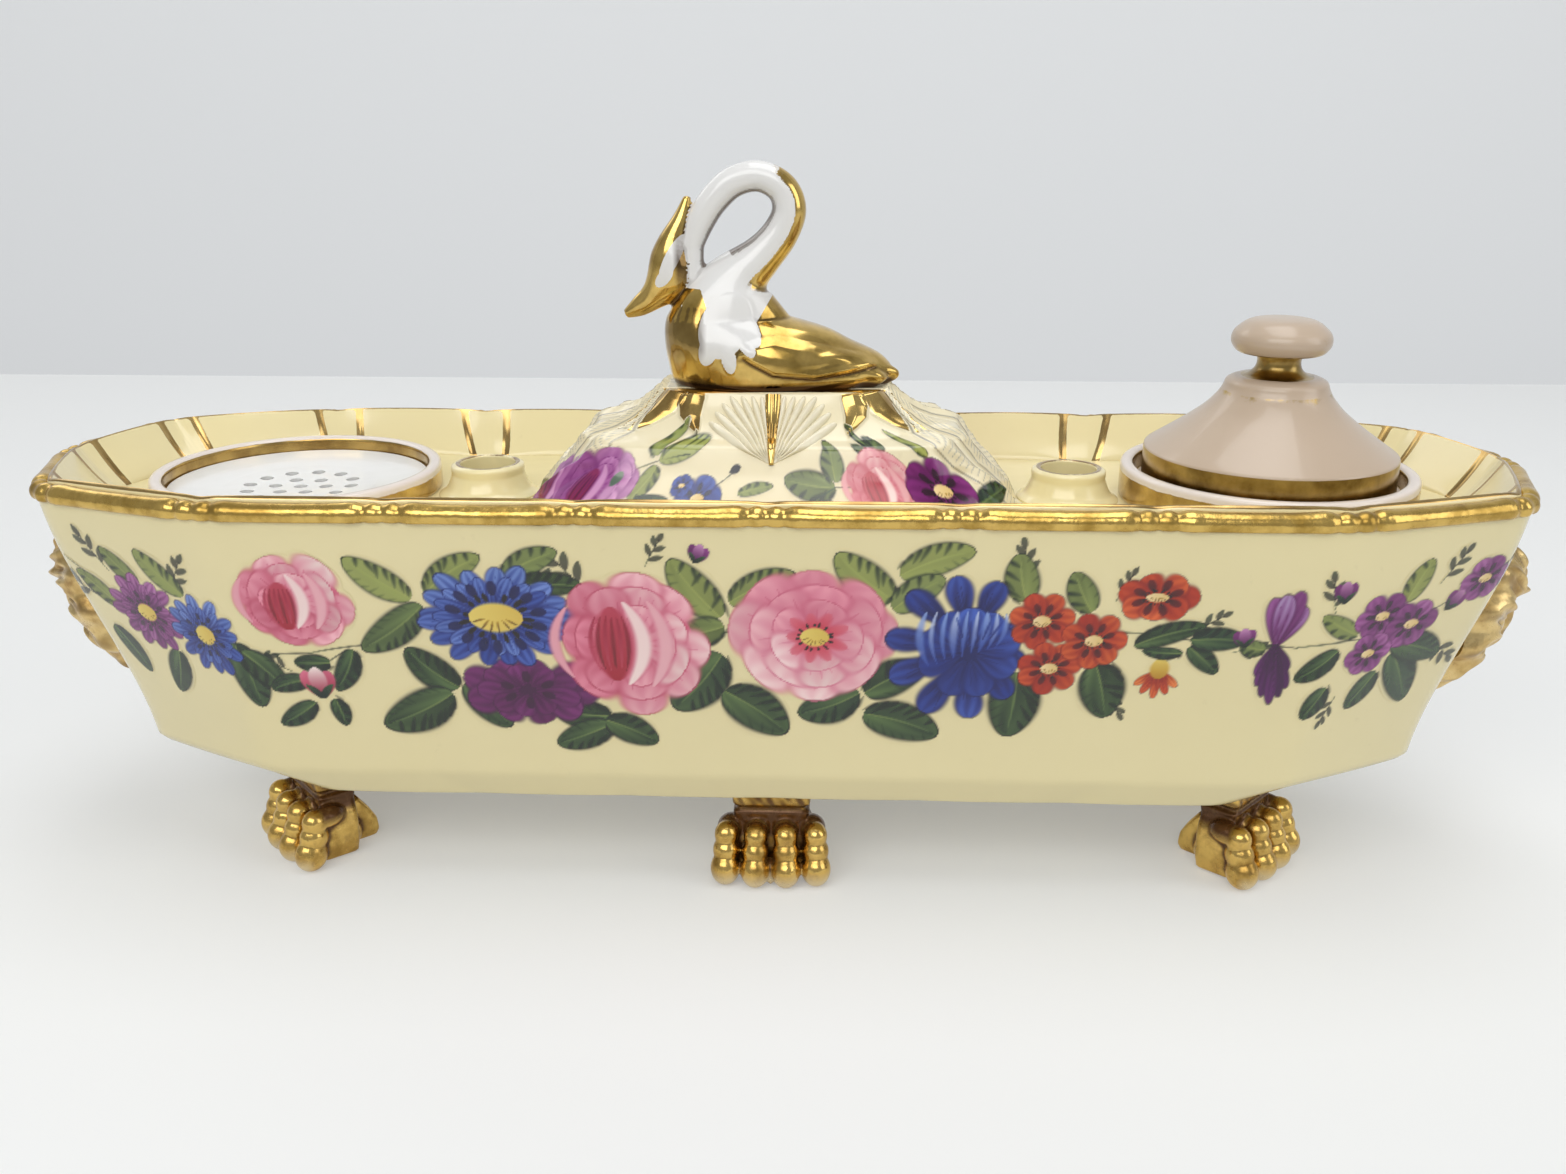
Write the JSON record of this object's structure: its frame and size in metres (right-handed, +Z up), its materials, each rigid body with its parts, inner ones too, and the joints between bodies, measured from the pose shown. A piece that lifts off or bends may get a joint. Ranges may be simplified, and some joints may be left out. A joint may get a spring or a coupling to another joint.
{
  "type": "desk inkstand",
  "caption": "Lobed porcelain desk inkstand on paw feet, with lidded ink pot, pounce pot, quill holes and a domed lift-off cover with a swan.",
  "frame": {"origin": "centre of the part's bounding box on the table plane, under the soles of the paw feet", "axes": "+X along the long side towards the ink pot, +Y to the back, +Z up from the table"},
  "size_m": [0.3118, 0.0856, 0.1417],
  "materials": {
    "cream_glaze": "gloss",
    "white_glaze": "gloss",
    "blush_glaze": "satin",
    "gilding": "satin"
  },
  "bodies": {
    "stand": {"body_wall": "cream_glaze", "deck_left": "cream_glaze", "deck_middle": "cream_glaze", "deck_right": "cream_glaze", "fluted_flange": "cream_glaze", "rim_moulding": "gilding", "mask_left": "gilding", "mask_right": "gilding", "foot_front_left": "gilding", "foot_front_middle": "gilding", "foot_front_right": "gilding", "foot_back_left": "gilding", "foot_back_middle": "gilding", "foot_back_right": "gilding", "quill_cone_left": "cream_glaze", "quill_cone_right": "cream_glaze", "compartment": "white_glaze"},
    "cover": {"cover": "cream_glaze", "shell_front": "cream_glaze", "shell_back": "cream_glaze", "swan_body": "gilding", "swan_neck": "white_glaze", "swan_head": "gilding"},
    "ink_pot": {"ink_pot": "white_glaze"},
    "ink_lid": {"ink_lid": "blush_glaze", "lid_knob": "blush_glaze"},
    "pounce_pot": {"pounce_pot": "white_glaze"},
    "strainer": {"pounce_strainer": "white_glaze"}
  },
  "joints": [
    {"name": "cover_lift", "type": "slide", "parent": "stand", "child": "cover", "axis": [0, 0, 1], "range_m": [0, 0.02]},
    {"name": "ink_pot_lift", "type": "slide", "parent": "stand", "child": "ink_pot", "axis": [0, 0, 1], "range_m": [0, 0.045]},
    {"name": "ink_lid_lift", "type": "slide", "parent": "ink_pot", "child": "ink_lid", "axis": [0, 0, 1], "range_m": [0, 0.03]},
    {"name": "pounce_pot_lift", "type": "slide", "parent": "stand", "child": "pounce_pot", "axis": [0, 0, 1], "range_m": [0, 0.045]},
    {"name": "strainer_lift", "type": "slide", "parent": "pounce_pot", "child": "strainer", "axis": [0, 0, 1], "range_m": [0, 0.02]}
  ]
}
